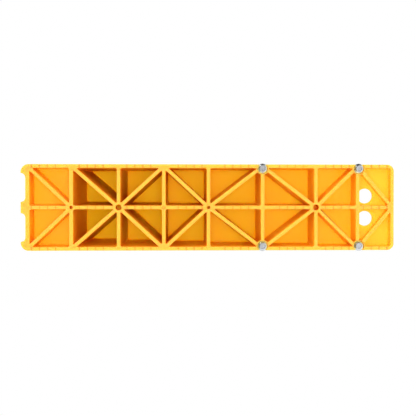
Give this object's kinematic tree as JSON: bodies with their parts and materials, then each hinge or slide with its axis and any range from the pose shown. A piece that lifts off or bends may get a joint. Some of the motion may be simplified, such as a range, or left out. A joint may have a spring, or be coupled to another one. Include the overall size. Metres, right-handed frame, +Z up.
{
  "type": "vehicle stabilisation step chock",
  "caption": "Stair-shaped, open-bottomed yellow plastic chock with a triangulated rib core, rope holes in the toe, a scooped heel and steel grip studs, for propping up a vehicle.",
  "frame": {"origin": "centre of the bounding box on the plane that the stud heads touch, 3 mm below the rims of the base", "axes": "+Z up, out of the steps; +X from the tall heel end to the low toe; +Y to the left side, seen from the heel"},
  "size_m": [0.66, 0.1554, 0.253],
  "materials": {
    "moulding": "moulded polyethylene, satin",
    "stud_steel": "bright zinc plate",
    "insert_brass": "turned"
  },
  "bodies": {
    "root": {"left_side_wall": "moulding", "right_side_wall": "moulding", "heel_end_wall": "moulding", "toe_end_wall": "moulding", "heel_ledge": "moulding", "step_7_tread": "moulding", "step_6_tread": "moulding", "step_5_tread": "moulding", "step_4_tread": "moulding", "step_3_tread": "moulding", "step_2_tread": "moulding", "toe_plate": "moulding", "heel_riser": "moulding", "riser_6_7": "moulding", "riser_5_6": "moulding", "riser_4_5": "moulding", "riser_3_4": "moulding", "riser_2_3": "moulding", "riser_1_2": "moulding", "centre_ribs": "moulding", "heel_diagonals": "moulding", "step_7_diagonals": "moulding", "step_6_diagonals": "moulding", "step_5_diagonals": "moulding", "step_4_diagonals": "moulding", "step_3_diagonals": "moulding", "step_2_diagonals": "moulding", "toe_diagonals": "moulding", "rear_pin_socket": "moulding", "front_pin_socket": "moulding", "cored_bosses": "moulding", "gate_boss": "moulding", "stud_bosses": "moulding", "threaded_inserts": "insert_brass", "grip_studs": "stud_steel"}
  },
  "joints": []
}
